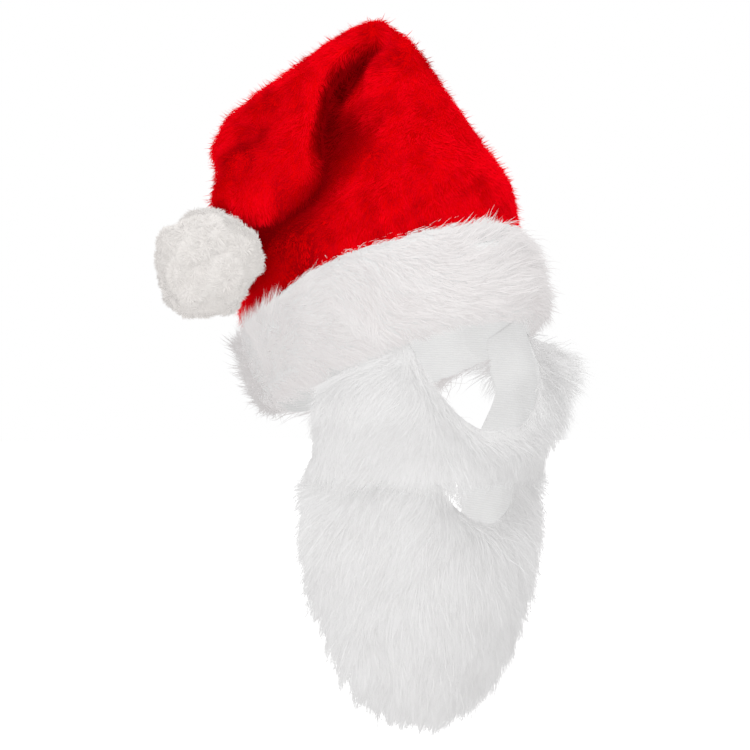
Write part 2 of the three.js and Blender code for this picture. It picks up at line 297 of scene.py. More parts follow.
whiteKnit = clothMaterial("white knit", knitGroup, 0.9, {
    "Dark": (0.89, 0.885, 0.882), "Light": (0.95, 0.947, 0.945), "Row Scale": knitScale, "Row Depth": 0.0001})
redKnit = clothMaterial("red knit", knitGroup, 0.9, {
    "Dark": (0.34, 0.001, 0.004), "Light": (0.48, 0.001, 0.005), "Row Scale": knitScale, "Row Depth": 0.0002})
print("materials made")


# skins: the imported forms, drawn in to leave room for the strands
def takeNode(node):
    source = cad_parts[node]
    bm = bmesh.new()
    bm.from_mesh(source.data)
    bm.transform(source.matrix_world)
    bmesh.ops.remove_doubles(bm, verts=bm.verts, dist=1e-6)
    bmesh.ops.recalc_face_normals(bm, faces=bm.faces)
    bmesh.ops.join_triangles(bm, faces=bm.faces, angle_face_threshold=0.7, angle_shape_threshold=0.9)
    bm.normal_update()
    return bm


def drawIn(bm, outside, most, shallow=None):
    # by half the form's depth at most, and that depth is kept as the pile's
    inside, farthest = 0.0002, 0.1
    pile = bm.verts.layers.float.new("measure")
    tree = BVHTree.FromBMesh(bm)
    steps = []
    for v in bm.verts:
        if outside(v.co, v.normal):
            hit = tree.ray_cast(v.co - v.normal * inside, -v.normal, farthest)
            depth = hit[3] or 0.0
            v[pile] = depth
            less = shallow(v.co) if shallow else 0
            steps.append((v, v.normal * min(most, depth / 2) * (1 - less)))
    for v, step in steps:
        v.co -= step


def finishSkin(bm, name, materials, spec):
    for face in bm.faces:
        face.smooth = True
    mesh = bpy.data.meshes.new(name)
    bm.to_mesh(mesh)
    bm.free()
    skin = bpy.data.objects.new(name, mesh)
    scene.collection.objects.link(skin)
    smoother = skin.modifiers.new("smooth", "SUBSURF")
    smoother.levels = smoother.render_levels = spec["levels"]
    done = bpy.data.meshes.new_from_object(skin.evaluated_get(bpy.context.evaluated_depsgraph_get()))
    skin.modifiers.clear()
    skin.data = done
    done.name = name
    done.set_sharp_from_angle(angle=radians(50))
    for material in materials:
        done.materials.append(material)
    lump, size = spec["lump"]
    moved = [v.co + v.normal * lump * noise.noise(v.co / size) for v in done.vertices]
    done.vertices.foreach_set("co", [c for co in moved for c in co])
    done.update()
    return skin


def openness(skin, beside, reach, rays, soften):
    # share of the sky over each point that the piece's own folds and the piece beside it leave open
    mesh = skin.data
    corners = [v.co for v in mesh.vertices]
    faces = [list(p.vertices) for p in mesh.polygons]
    faces += [[i + len(corners) for i in p.vertices] for p in beside.data.polygons]
    corners += [beside.matrix_world @ v.co for v in beside.data.vertices]
    tree = BVHTree.FromPolygons(corners, faces)
    step = (np.arange(rays) + 0.5) / rays
    turn = np.arange(rays) * goldenTurn
    ring = np.sqrt(step)
    fan = np.stack((ring * np.cos(turn), ring * np.sin(turn), np.sqrt(1 - step)), 1).tolist()
    clear = 0.003  # over the lumps of the skin itself
    free = []
    for v in mesh.vertices:
        side = v.normal.orthogonal().normalized()
        other = v.normal.cross(side)
        start = v.co + v.normal * clear
        free.append(sum(tree.ray_cast(start, side * x + other * y + v.normal * z, reach)[0] is None
                        for x, y, z in fan) / rays)
    # shade also spreads a little way out of a fold
    one, two = np.array([e.vertices for e in mesh.edges]).T
    meeting = np.bincount(one, minlength=len(free)) + np.bincount(two, minlength=len(free))
    free = spread = np.array(free)
    for _ in range(soften):
        total = np.bincount(one, spread[two], len(free)) + np.bincount(two, spread[one], len(free))
        spread = 0.4 * spread + 0.6 * total / meeting
    return free * (1 - (1 - spread) * ease(1 - free, 0.01, 0.1))


def triangles(mesh):
    return sum(len(p.vertices) - 2 for p in mesh.polygons)


# fur: strands as narrow tapered ribbons, joined into one mesh
# lift and settle say how far they stand up at the root and at the tip, and loose ones stay out of the locks
strandWidths = (0.7, 1.3)
wispStand, wispSettle = (0.4, 1.2), 8
lockCurve = 1.3
toneColumns = 32  # across the map


def evenly(p):
    return np.ones(len(p))


def scatter(skin, spec, weight):
    mesh, count = skin.data, spec["strands"]
    mesh.calc_loop_triangles()
    corners = np.empty(len(mesh.loop_triangles) * 3, np.int32)
    mesh.loop_triangles.foreach_get("vertices", corners)
    corners = corners.reshape(-1, 3)
    part = np.empty(len(corners), np.int32)
    mesh.loop_triangles.foreach_get("material_index", part)
    place = np.empty(len(mesh.vertices) * 3, np.float32)
    mesh.vertices.foreach_get("co", place)
    place = place.reshape(-1, 3).astype(float)
    facing = np.empty(len(mesh.vertices) * 3, np.float32)
    mesh.vertices.foreach_get("normal", facing)
    facing = facing.reshape(-1, 3).astype(float)
    measure = np.empty(len(mesh.vertices), np.float32)  # the pile's depth, or how open the place is
    mesh.attributes["measure"].data.foreach_get("value", measure)
    a, b, c = (place[corners[:, k]] for k in range(3))
    area = np.linalg.norm(np.cross(b - a, c - a), axis=1) / 2
    chance = np.cumsum(area * (part == 0) * weight((a + b + c) / 3))  # on the outside only
    rng = np.random.default_rng(spec["seed"])
    pick = np.searchsorted(chance, (np.arange(count) + rng.random(count)) / count * chance[-1])
    f, g = rng.random((2, count))
    over = f + g > 1
    f[over], g[over] = 1 - f[over], 1 - g[over]
    shares = np.stack((1 - f - g, f, g), 1)[:, :, None]
    ids = corners[np.minimum(pick, len(corners) - 1)]
    root = (place[ids] * shares).sum(1)
    normal = unit((facing[ids] * shares).sum(1))
    return root, normal, (measure[ids] * shares[:, :, 0]).sum(1), rng


def patchyTone(spec, root, rng):  # blotches, and a little from strand to strand
    middle, share, size, seed, spread = spec["tone"]
    return np.clip(middle + share * swirl(root, size, seed)[:, 0] + rng.normal(0, spread, len(root)), 0, 1)


def strandPaths(spec, root, normal, comb, length, lift, lock, rng):
    count, steps = len(root), spec["steps"]
    # a few wisps stand up and stay out of the locks, lower where the pile lies flat
    wisp = rng.random(count) < spec["wisps"]
    standing = np.clip(lift / spec["lift"], *wispStand)
    lift = np.where(wisp, spec["wispLift"] * standing, lift)[:, None]
    length = np.where(wisp, length * spec["wispLength"], length)
    stray = unit(rng.normal(size=(count, 3))) * spec["stray"]
    start = unit(normal * lift + comb * (1 - lift) + stray)
    settle = spec["settle"] * (1 + wispSettle * wisp * standing)[:, None]
    end = unit(normal * settle + comb + down * spec["droop"] + stray)
    path = [root - normal * spec["sunk"]]
    for k in range(steps):
        s = (k + 0.5) / steps
        wobble = rng.normal(size=(count, 3)) * spec["wobble"]
        heading = unit(start * (1 - s) + end * s + wobble)
        path.append(path[-1] + heading * (length / steps)[:, None])
    path = np.stack(path, 1)
    # the rest draw together into locks
    guides = rng.choice(count, max(1, count // spec["perLock"]), replace=False)
    tree = KDTree(len(guides))
    for i, g in enumerate(guides):
        tree.insert(root[g], i)
    tree.balance()
    nearest = np.array([tree.find(p)[1] for p in root])
    guide = path[guides[nearest]]
    offset = (path[:, :1] - guide[:, :1]) * spec["lockSpread"]
    held = lock * (rng.random(count) > spec["loose"]) * ~wisp
    along = np.linspace(0, 1, steps + 1)[None, :, None] ** lockCurve
    return path + held[:, None, None] * along * (guide + offset - path)


def strandMesh(name, spec, path, normal, tone, rng, material):
    count, steps = path.shape[0], path.shape[1] - 1
    corners = 2 * steps + 1
    heading = unit(np.gradient(path, axis=1))
    across = unit(np.cross(heading, normal[:, None]))
    up = np.cross(across, heading)
    roll = rng.normal(0, spec["roll"], count)[:, None, None]
    across, up = across * np.cos(roll) + up * np.sin(roll), up * np.cos(roll) - across * np.sin(roll)
    width = spec["width"] * rng.uniform(*strandWidths, count)[:, None] * np.linspace(1, spec["taper"], steps)
    half = across[:, :-1] * width[:, :, None] / 2
    verts = np.empty((count, corners, 3), np.float32)
    verts[:, 0:-1:2] = path[:, :-1] - half
    verts[:, 1:-1:2] = path[:, :-1] + half
    verts[:, -1] = path[:, -1]
    shade = np.empty_like(verts)
    shade[:, 0:-1:2] = unit(up[:, :-1] - across[:, :-1] * spec["round"])
    shade[:, 1:-1:2] = unit(up[:, :-1] + across[:, :-1] * spec["round"])
    shade[:, -1] = up[:, -1]
    order, starts = [], []
    for k in range(0, corners - 3, 2):
        starts.append(len(order))
        order += [k, k + 1, k + 3, k + 2]
    starts.append(len(order))
    order += [corners - 3, corners - 2, corners - 1]  # the tip
    loops = (np.arange(count)[:, None] * corners + np.array(order)).ravel()
    begins = (np.arange(count)[:, None] * len(order) + np.array(starts)).ravel()
    mesh = bpy.data.meshes.new(name)
    mesh.vertices.add(count * corners)
    mesh.vertices.foreach_set("co", verts.ravel())
    mesh.loops.add(len(loops))
    mesh.loops.foreach_set("vertex_index", loops.astype(np.int32))
    mesh.polygons.add(len(begins))
    mesh.polygons.foreach_set("loop_start", begins.astype(np.int32))
    mesh.update(calc_edges=True)
    column = np.clip((tone * toneColumns).astype(int), 0, toneColumns - 1)
    u = np.empty((count, corners))
    u[:, 0:-1:2] = ((column + 0.1) / toneColumns)[:, None]
    u[:, 1:-1:2] = ((column + 0.9) / toneColumns)[:, None]
    u[:, -1] = (column + 0.5) / toneColumns
    v = np.empty(corners)
    v[0:-1:2] = v[1:-1:2] = np.arange(steps) / steps
    v[-1] = 1
    uv = np.stack((u, np.broadcast_to(v, u.shape)), 2).astype(np.float32)
    layer = mesh.uv_layers.new(name="OFBake")
    layer.data.foreach_set("uv", uv.reshape(-1, 2)[loops].ravel())
    mesh.normals_split_custom_set_from_vertices(shade.reshape(-1, 3).tolist())
    mesh.materials.append(material)
    fur = bpy.data.objects.new(name, mesh)
    fur.visible_diffuse = False  # soft light comes through between the strands
    scene.collection.objects.link(fur)
    print(name, count, "strands,", triangles(mesh), "triangles")
    return fur


# crown
crownSpec = {
    "strands": 110000, "seed": 11, "length": 0.0068, "lengths": (0.75, 1.15), "steps": 2,
    "width": 0.00058, "taper": 0.7, "roots": (-0.006, -0.001),
    "lift": 0.44, "settle": 0.28, "droop": 0.1, "stray": 0.2, "wobble": 0.1, "sunk": 0.0008,
    "wisps": 0.05, "wispLift": 0.65, "wispLength": 1.2,
    "perLock": 14, "lock": 0.45, "lockSpread": 0.4, "loose": 0.3, "roll": 0.5, "round": 0.3,
    "swirls": ((0.7, 0.05, 3), (0.35, 0.016, 4)),
    "levels": 1, "lump": (0.0012, 0.018), "flat": (0.58, 0.36), "area": 0.105,
    "proud": 0.001, "spill": 0.0035, "spillRise": (-0.002, 0.008), "spillFall": (0.012, 0.034),
    # the tail's edge swells near its end, the pocket of the fold opens, the body hollows below it,
    # a dimple is pressed into the tail, and the tail's lower edge hangs
    "swells": (((-0.070, 0.012, 0.092), (0.0085, -0.0085, -0.004), 0.02),
               ((-0.030, 0.013, 0.160), (-0.0065, 0.0065, 0.0), 0.02),
               ((-0.007, 0.012, 0.158), (-0.006, -0.006, 0.0), 0.017),
               ((-0.038, 0.004, 0.110), (0.006, 0.006, 0.0), 0.02),
               ((-0.064, 0.069, 0.124), (0.007, 0.007, 0.0), 0.014),
               ((-0.088, 0.027, 0.075), (0.003, -0.003, -0.008), 0.014)),
    # how far away a fold shades, and how dark
    "reach": 0.075, "rays": 32, "soften": 110, "shade": 0.78, "shadeFrom": (0.03, 0.65),
    "shadeLeft": ((0.085, 0.125), (0.65, 1.0)),  # less of the fold's shade is left lower down
    # light reaches the pocket's wall past a slanting edge, and the tail's lower edge
    "wallHigh": (0.124, 0.182), "wallAcross": (-0.047, -0.011), "wallLit": 0.85,
    "wallSoft": (-0.002, 0.008), "wallFade": 0.025,
    "tailEdge": (-0.086, 0.025, 0.078), "tailEdgeSize": 0.018, "tailLit": 0.8,
    # where the plush is darker: crushed at random all over, with painted shadow under the tail and painted
    # shade in patches
    "plushTone": ((0.32, 0.05, 7), (0.22, 0.018, 8)), "eachStrand": 0.08, "crushed": (0.5, 1),
    "underTail": 0.6, "tailRight": (0.025, 0.085), "tailBelow": (-0.12, -0.07), "tailOut": (1.1, 1.3),
    "shadePatches": (((-0.073, 0.060, 0.112), 0.030, 0.36), ((-0.064, 0.069, 0.124), 0.012, 0.25),
                ((-0.090, 0.047, 0.099), 0.014, 0.28), ((-0.081, 0.005, 0.038), 0.030, 0.36),
                ((-0.028, -0.078, 0.073), 0.024, 0.16), ((0.046, -0.040, 0.082), 0.025, 0.15),
                ((-0.046, -0.020, 0.108), 0.018, 0.40)),
}
bm = takeNode("crown")
rimHeight = min(v.co.dot(bandUp) for v in bm.verts)
rim = {f for f in bm.faces if f.normal.dot(Vector(bandUp)) < -0.8
       and f.calc_center_median().dot(Vector(bandUp)) < rimHeight + 0.001}
top = max(bm.faces, key=lambda f: f.calc_center_median().z)
outer, edge = {top}, [top]
while edge:  # walk over the outside as far as the rim
    for e in edge.pop().edges:
        for f in e.link_faces:
            if f not in outer and f not in rim:
                outer.add(f)
                edge.append(f)
for f in bm.faces:
    f.material_index = 0 if f in outer else 1
print("crown outside", len(outer), "of", len(bm.faces), "rim", len(rim))
for v in {v for f in outer for v in f.verts}:  # fuller where the plush spills over the band
    rise = np.array(v.co) @ bandUp - bandTop(np.array(v.co))
    spill = ease(rise, *crownSpec["spillRise"]) - ease(rise, *crownSpec["spillFall"])
    v.co += v.normal * float(crownSpec["proud"] + crownSpec["spill"] * spill)
for centre, push, size in crownSpec["swells"]:
    for v in bm.verts:
        v.co += Vector(push) * float(nearness(np.array(v.co), centre, size))
crownSkin = finishSkin(bm, "crown_cloth", (redPile, redKnit), crownSpec)


def crownWeight(p):  # down to just under the band's upper edge
    return ease(p @ bandUp - bandTop(p), *crownSpec["roots"])


free = openness(crownSkin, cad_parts["pompom"],
                crownSpec["reach"], crownSpec["rays"], crownSpec["soften"])
place = np.array([v.co for v in crownSkin.data.vertices])
x, y, z = place.T
wallFoot = crownSpec["wallHigh"][0]
past = 0.707 * (x - y) - np.interp(z, crownSpec["wallHigh"], crownSpec["wallAcross"])  # to the left front
wallLit = ease(past, *crownSpec["wallSoft"]) * ease(z, wallFoot, wallFoot + crownSpec["wallFade"])
tailLit = nearness(place, crownSpec["tailEdge"], crownSpec["tailEdgeSize"])
shut = (1 - free) * np.interp(z, *crownSpec["shadeLeft"])
free = 1 - shut * (1 - crownSpec["wallLit"] * wallLit) * (1 - crownSpec["tailLit"] * tailLit)
crownSkin.data.attributes.new("measure", "FLOAT", "POINT").data.foreach_set("value", free)
root, normal, free, rng = scatter(crownSkin, crownSpec, crownWeight)
comb = flat(unit(flat(down, normal) + stirred(root, crownSpec["swirls"])), normal)
length = crownSpec["length"] * rng.uniform(*crownSpec["lengths"], len(root))
(slowShare, *slow), (fineShare, *fine) = crownSpec["plushTone"]
plushTone = 1 + slowShare * swirl(root, *slow)[:, 0] + fineShare * swirl(root, *fine)[:, 1]
plushTone = np.clip(plushTone + rng.normal(0, crownSpec["eachStrand"], len(root)), *crownSpec["crushed"])
x, y, z = root.T
# painted shadow under the tail, fading out beyond the band's outline
clear = ease((x / headWide) ** 2 + (y / headDeep) ** 2, *crownSpec["tailOut"])
tailShadow = ease(y - x, *crownSpec["tailRight"]) * ease(-z, *crownSpec["tailBelow"]) * (1 - clear)
plushTone = plushTone * (1 - crownSpec["underTail"] * tailShadow)
# painted shade in patches
for centre, size, share in crownSpec["shadePatches"]:
    plushTone = plushTone * (1 - share * nearness(root, centre, size))
# the strand's tone: random crush with the painted shadow and patches, times painted shade in the folds
tone = np.clip(plushTone * (1 - crownSpec["shade"] * ease(1 - free, *crownSpec["shadeFrom"])), 0, 1)
print("crown open share", np.percentile(free, (5, 25, 50, 75, 95)).round(2))
path = strandPaths(crownSpec, root, normal, comb, length, crownSpec["lift"], crownSpec["lock"], rng)
right = x < np.median(x)
crownPiles = [
    strandMesh("crown_pile_right", crownSpec, path[right], normal[right], tone[right], rng, redStrand),
    strandMesh("crown_pile_left", crownSpec, path[~right], normal[~right], tone[~right], rng, redStrand),
]


# band
bandSpec = {
    "strands": 33000, "seed": 21, "length": 0.021, "lengths": (0.5, 1.15), "steps": 3,
    "width": 0.0006, "taper": 0.55,
    "lift": 0.3, "settle": 0.04, "droop": 0.08, "stray": 0.2, "wobble": 0.1, "sunk": 0.001,
    "wisps": 0.035, "wispLift": 0.65, "wispLength": 1.0,
    "perLock": 24, "lock": 0.5, "lockSpread": 0.35, "loose": 0.3, "roll": 0.2, "round": 0.12,
    "swirls": ((0.55, 0.07, 13), (0.25, 0.02, 14)), "tone": (0.6, 0.2, 0.03, 17, 0.15),
    "drawIn": 0.004, "levels": 1, "lump": (0.002, 0.025), "fill": 0.5,
    "edgeUp": 0.002, "edgeFrom": (-0.01, 0.02),
    # up the band from -1 to 1: the hem hangs, and the fur is neat along the upper edge
    "hem": (0.7, 0.95), "neat": (0.6, 0.92),
    # along the band, towards the nape, the left brow and the eyes
    "nape": (-0.03, 0.06), "leftBrow": (0.12, 0.14), "overEyes": (0.045, 0.06),
}


def bandOutside(co, normal):
    out = Vector((co.x / headWide ** 2, co.y / headDeep ** 2, 0))
    return normal.dot(out.normalized()) > -0.3


bm = takeNode("fur_band")
for f in bm.faces:
    f.material_index = 0 if bandOutside(f.calc_center_median(), f.normal) else 1
drawIn(bm, bandOutside, bandSpec["drawIn"])
for v in bm.verts:  # the upper edge, lower at the nape
    co = np.array(v.co)
    lower = (napeDrop(co) - bandSpec["edgeUp"]) * ease(co @ bandUp, *bandSpec["edgeFrom"])
    v.co -= Vector(bandUp) * float(lower)
bandSkin = finishSkin(bm, "band_roll", (whitePile, whiteKnit), bandSpec)

root, normal, _, rng = scatter(bandSkin, bandSpec, evenly)
height = 2 * (root @ bandUp + bandHalf) / (bandTop(root) + bandHalf) - 1
hem = ease(-height, *bandSpec["hem"])
neat = ease(height, *bandSpec["neat"])
nape = ease(root @ bandBack, *bandSpec["nape"])
corner = ease(root[:, 0] - root[:, 1], *bandSpec["leftBrow"])  # the fur stands out there
overEyes = ease(-(root @ bandBack), *bandSpec["overEyes"])
level = unit(np.cross(np.broadcast_to(bandUp, normal.shape), normal))
comb = level * (1 - 0.5 * hem)[:, None] - bandUp * hem[:, None] + stirred(root, bandSpec["swirls"])
comb = flat(flat(comb, normal) + bandUp * ((0.6 * corner - nape) * neat)[:, None], normal)
length = bandSpec["length"] * rng.uniform(*bandSpec["lengths"], len(root))
length = length * (1 - (0.35 + 0.4 * nape) * neat * (1 - corner)) * (1 + (0.2 - 0.7 * overEyes) * hem)
tone = patchyTone(bandSpec, root, rng)
lift = bandSpec["lift"] * (1 - (0.3 + 0.5 * nape) * neat + 0.6 * corner * neat)
path = strandPaths(bandSpec, root, normal, comb, length, lift, bandSpec["lock"], rng)
bandPile = strandMesh("band_pile", bandSpec, path, unit(normal + 0.7 * outward(root)), tone, rng, bandStrand)


# pompom
pompomSpec = {
    "strands": 30000, "seed": 31, "length": 0.0055, "lengths": (0.75, 1.1), "steps": 2,
    "width": 0.0007, "taper": 0.8,
    "lift": 0.5, "settle": 0.4, "droop": 0.0, "stray": 0.22, "wobble": 0.1, "sunk": 0.001,
    "wisps": 0.0, "wispLift": 0.9, "wispLength": 1.0,
    "perLock": 16, "lock": 0.4, "lockSpread": 0.5, "loose": 0.2, "roll": 0.3, "round": 0.2,
    "swirls": ((0.05, 0.01, 23),), "tone": (0.6, 0.25, 0.015, 27, 0.2),
    "drawIn": 0.004, "levels": 2, "lump": (0.005, 0.024), "fill": 0.9,
    "tufts": 60, "tuftSeed": 5, "tuftJitter": 0.25, "tuftRise": 0.0085, "tuftSize": 0.0088,
    "fullness": (0.35, 1.15),
    "sag": 0.006, "sagOver": 0.03,
}
bm = takeNode("pompom")
middle = sum((v.co for v in bm.verts), Vector()) / len(bm.verts)
drawIn(bm, lambda co, normal: True, pompomSpec["drawIn"])
pompomSkin = finishSkin(bm, "pompom_core", (pompomPile,), pompomSpec)
rng = np.random.default_rng(pompomSpec["tuftSeed"])
number = np.arange(pompomSpec["tufts"])
turn = number * goldenTurn + rng.normal(0, pompomSpec["tuftJitter"], len(number))
rise = 1 - 2 * (number + 0.5) / len(number)
ring = np.sqrt(1 - rise ** 2)
tufts = np.stack((np.cos(turn) * ring, np.sin(turn) * ring, rise), 1)
fullness = rng.uniform(*pompomSpec["fullness"], len(number))
for v in pompomSkin.data.vertices:  # rounded tufts all over the ball
    away = np.array(v.co - middle)
    gaps = np.linalg.norm(tufts * np.linalg.norm(away) - away, axis=1) / pompomSpec["tuftSize"]
    bulge = np.max(fullness * np.sqrt(np.maximum(0, 1 - gaps ** 2)))
    v.co += (v.co - middle).normalized() * pompomSpec["tuftRise"] * bulge
    v.co.z -= pompomSpec["sag"] * float(ease(middle.z - v.co.z, 0, pompomSpec["sagOver"]))
pompomSkin.data.update()

root, normal, _, rng = scatter(pompomSkin, pompomSpec, evenly)
away = unit(root - np.array(middle))
tuft = tufts[np.argmax(away @ tufts.T, axis=1)]
comb = flat(away - tuft + stirred(root, pompomSpec["swirls"]), normal)  # out from the middle of each tuft
length = pompomSpec["length"] * rng.uniform(*pompomSpec["lengths"], len(root))
tone = patchyTone(pompomSpec, root, rng)
path = strandPaths(pompomSpec, root, normal, comb, length, pompomSpec["lift"], pompomSpec["lock"], rng)
facing = unit(0.7 * away + 0.3 * normal)
pompomFur = strandMesh("pompom_pile", pompomSpec, path, facing, tone, rng, pompomStrand)


# beard panels, around an ellipse a little behind the head's
panelShape = {
    "wide": 0.08, "deep": 0.11, "back": 0.02,
    "seamLess": 0.4, "seamSize": 0.009,  # drawn in less at the seam
    "narrowLeft": 0.06, "narrowRight": 0.13, "narrowFrom": (0.165, 0.25), "hemFrom": (0.19, 0.272),
    # how far the fur fans out from the middle, by height
    "fanHeights": (-0.27, -0.22, -0.15, -0.10, -0.05, 0.0), "fanAngles": (0.1, 0.3, 0.5, 0.6, 0.7, 0.8),
    "fanWide": 0.05, "fanFrom": (-0.005, 0.045),
}


def panelOutside(co, normal):
    out = Vector((co.x / panelShape["wide"] ** 2, (co.y - panelShape["back"]) / panelShape["deep"] ** 2, 0))
    return normal.dot(out.normalized()) > -0.25


def atSeam(co):
    return panelShape["seamLess"] * np.exp(-((co.z - seamHeight) / panelShape["seamSize"]) ** 2)


def panelSkin(node, name, spec):
    bm = takeNode(node)
    for f in bm.faces:
        f.material_index = 0 if panelOutside(f.calc_center_median(), f.normal) else 1
    drawIn(bm, panelOutside, spec["drawIn"], atSeam)
    for v in bm.verts:  # room for the strands beside and below the hem
        narrow = panelShape["narrowLeft" if v.co.x > 0 else "narrowRight"]
        v.co.x *= 1 - narrow * float(ease(-v.co.z, *panelShape["narrowFrom"]))
        v.co.z += spec["hem"] * float(ease(-v.co.z, *panelShape["hemFrom"]))
    return finishSkin(bm, name, (whitePile, whiteKnit), spec)


def panelComb(p, normal, swirls):
    # down the face, and fanning out from its middle
    side = unit(np.cross(-down, normal))
    fan = np.interp(p[:, 2], panelShape["fanHeights"], panelShape["fanAngles"])
    fan = fan * np.tanh(p[:, 0] / panelShape["fanWide"])
    fan = fan * ease(-p[:, 1], *panelShape["fanFrom"])  # straight down at the back edges
    comb = flat(down, normal) * np.cos(fan)[:, None] + side * np.sin(fan)[:, None]
    return flat(comb + stirred(p, swirls), normal)


faceSpec = {
    "strands": 30000, "seed": 41, "length": 0.020, "lengths": (-0.25, 0.25), "steps": 3,
    "width": 0.0006, "taper": 0.5,
    "lift": 0.28, "settle": 0.03, "droop": 0.15, "stray": 0.2, "wobble": 0.1, "sunk": 0.001,
    "wisps": 0.035, "wispLift": 0.6, "wispLength": 1.0,
    "perLock": 24, "lock": 0.5, "lockSpread": 0.3, "loose": 0.3, "roll": 0.2, "round": 0.12,
    "swirls": ((0.35, 0.07, 33), (0.2, 0.02, 34)), "tone": (0.6, 0.2, 0.03, 37, 0.15),
    "drawIn": 0.004, "levels": 1, "lump": (0.0012, 0.025), "flat": (0.29, 0.11), "area": 0.0235,
    "hem": 0.0, "eye": (0, -0.105, -0.03), "eyeReach": 0.075, "eyeFoot": -0.088, "eyeRim": (0.003, 0.009),
    "thick": (0.003, 0.012), "cheek": (0.045, 0.058), "mouth": (0.034, 0.044),
    "moustache": (0.08, 0.095), "seam": (0.08, 0.092), "temple": (-0.065, -0.05),
    "back": (-0.03, 0.0), "backHeights": (-0.095, -0.06), "fluffed": (-0.055, -0.035),
    "bandRoots": (-0.004, 0.002), "bandThick": (-0.03, -0.012), "strip": 0.05,
    "liftHeights": (-0.1, -0.085, -0.065, -0.05, -0.04), "lifts": (0.95, 0.8, 0.6, 0.8, 0.5),
}
faceSkin = panelSkin("face_panel", "face_panel_cloth", faceSpec)


def faceWeight(p):  # none up inside the band, more on the moustache
    inBand = ease(p @ bandUp + bandHalf, *faceSpec["bandRoots"])
    return (1 - inBand) * (1 + 0.8 * ease(-p[:, 2], *faceSpec["moustache"]))


root, normal, depth, rng = scatter(faceSkin, faceSpec, faceWeight)
x, y, z = root.T
cheek = ease(abs(x), *faceSpec["cheek"])
underBand = ease(root @ bandUp + bandHalf, *faceSpec["bandThick"]) * (abs(x) > faceSpec["strip"])
overSeam = ease(-z, *faceSpec["seam"])
overMouth = ease(-z, *faceSpec["moustache"]) * (1 - ease(abs(x), *faceSpec["mouth"]))
backEdge = ease(y, *faceSpec["back"]) * ease(z, *faceSpec["backHeights"])
fluffed = cheek * (x > 0) * ease(z, *faceSpec["fluffed"])  # the left cheek is brushed out
nearEye = 1 - ease(depth, *faceSpec["eyeRim"])
nearEye = nearEye * (z > faceSpec["eyeFoot"]) * (abs(x) < faceSpec["eyeReach"])
toEye = flat(np.array(faceSpec["eye"]) - root, normal)
comb = panelComb(root, normal, faceSpec["swirls"])
comb = flat(comb + ((1.4 - 0.9 * cheek) * nearEye)[:, None] * toEye, normal)
comb = flat(comb - 0.8 * down * fluffed[:, None], normal)
thick = np.maximum(ease(depth, *faceSpec["thick"]), underBand)
thick = np.maximum(thick, 0.7 * cheek * ease(z, *faceSpec["temple"]))
length = 0.9 + 0.15 * overSeam + rng.uniform(*faceSpec["lengths"], len(root)) * (1 + 2 * overSeam)
length = faceSpec["length"] * length * (0.4 + 0.6 * thick)
length = length * (1 - 0.55 * overMouth) * (1 - 0.35 * backEdge) * (1 + 0.5 * fluffed)
tone = patchyTone(faceSpec, root, rng)
lift = faceSpec["lift"] * np.interp(z, faceSpec["liftHeights"], faceSpec["lifts"]) + 0.6 * fluffed
path = strandPaths(faceSpec, root, normal, comb, length, lift, faceSpec["lock"], rng)
facing = unit(normal + 0.5 * outward(root))
facePile = strandMesh("face_panel_pile", faceSpec, path, facing, tone, rng, whiteStrand)

beardSpec = {
    "strands": 36000, "seed": 51, "length": 0.028, "lengths": (0.65, 1.05), "steps": 3,
    "width": 0.0006, "taper": 0.5,
    "lift": 0.34, "settle": 0.05, "droop": 0.25, "stray": 0.18, "wobble": 0.08, "sunk": 0.001,
    "wisps": 0.06, "wispLift": 0.72, "wispLength": 0.95,
    "perLock": 22, "lock": (0.9, 0.45), "lockHeights": (-0.2, -0.13),
    "lockSpread": 0.15, "loose": 0.15, "roll": 0.2, "round": 0.12,
    "swirls": ((0.35, 0.07, 43), (0.2, 0.02, 44)), "tone": (0.6, 0.2, 0.03, 47, 0.15),
    "drawIn": 0.004, "levels": 1, "lump": (0.0012, 0.025), "flat": (0.28, 0.20), "area": 0.039,
    "hem": 0.004, "thick": (0.003, 0.012), "longLocks": 0.14, "longBy": 0.42,
    "uneven": (0.12, 0.016, 45), "unevenMost": (0.7, 1.2),
    "seamFlat": 0.6, "seamFrom": -0.135, "seamTo": seamHeight - 0.006,
}
beardSkin = panelSkin("chin_beard", "chin_beard_cloth", beardSpec)
root, normal, depth, rng = scatter(beardSkin, beardSpec, evenly)
comb = panelComb(root, normal, beardSpec["swirls"])
longer = rng.random(len(root)) < beardSpec["longLocks"]  # a lock is as long as its middle strand
length = beardSpec["length"] * (rng.uniform(*beardSpec["lengths"], len(root)) + beardSpec["longBy"] * longer)
length = length * (0.45 + 0.55 * ease(depth, *beardSpec["thick"]))
length = length * np.clip(1 + stirred(root, [beardSpec["uneven"]])[:, 0], *beardSpec["unevenMost"])
tone = patchyTone(beardSpec, root, rng)
lock = np.interp(root[:, 2], beardSpec["lockHeights"], beardSpec["lock"])
underSeam = ease(root[:, 2], beardSpec["seamFrom"], beardSpec["seamTo"])
lift = beardSpec["lift"] * (1 - beardSpec["seamFlat"] * underSeam)
path = strandPaths(beardSpec, root, normal, comb, length, lift, lock, rng)
facing = unit(normal + 0.5 * outward(root))
beardPile = strandMesh("chin_beard_pile", beardSpec, path, facing, tone, rng, whiteStrand)

# the table: skin, imported part, slot name and piles; each skin and its piles hang from the root body
table = (
    (crownSkin, "crown", "red_plush", crownPiles),
    (bandSkin, "fur_band", "white_fur", [bandPile]),
    (pompomSkin, "pompom", "pompom_fur", [pompomFur]),
    (faceSkin, "face_panel", "white_fur", [facePile]),
    (beardSkin, "chin_beard", "white_fur", [beardPile]),
)
for skin, node, slotName, piles in table:
    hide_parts(node)
    area = sum(p.area for p in skin.data.polygons)
    print(skin.name, triangles(skin.data), "triangles, half its surface", round(area / 2, 4))
    skin.visible_diffuse = False  # the pile and its thin backing let soft light through
    for piece in [skin] + piles:
        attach(piece, "root")

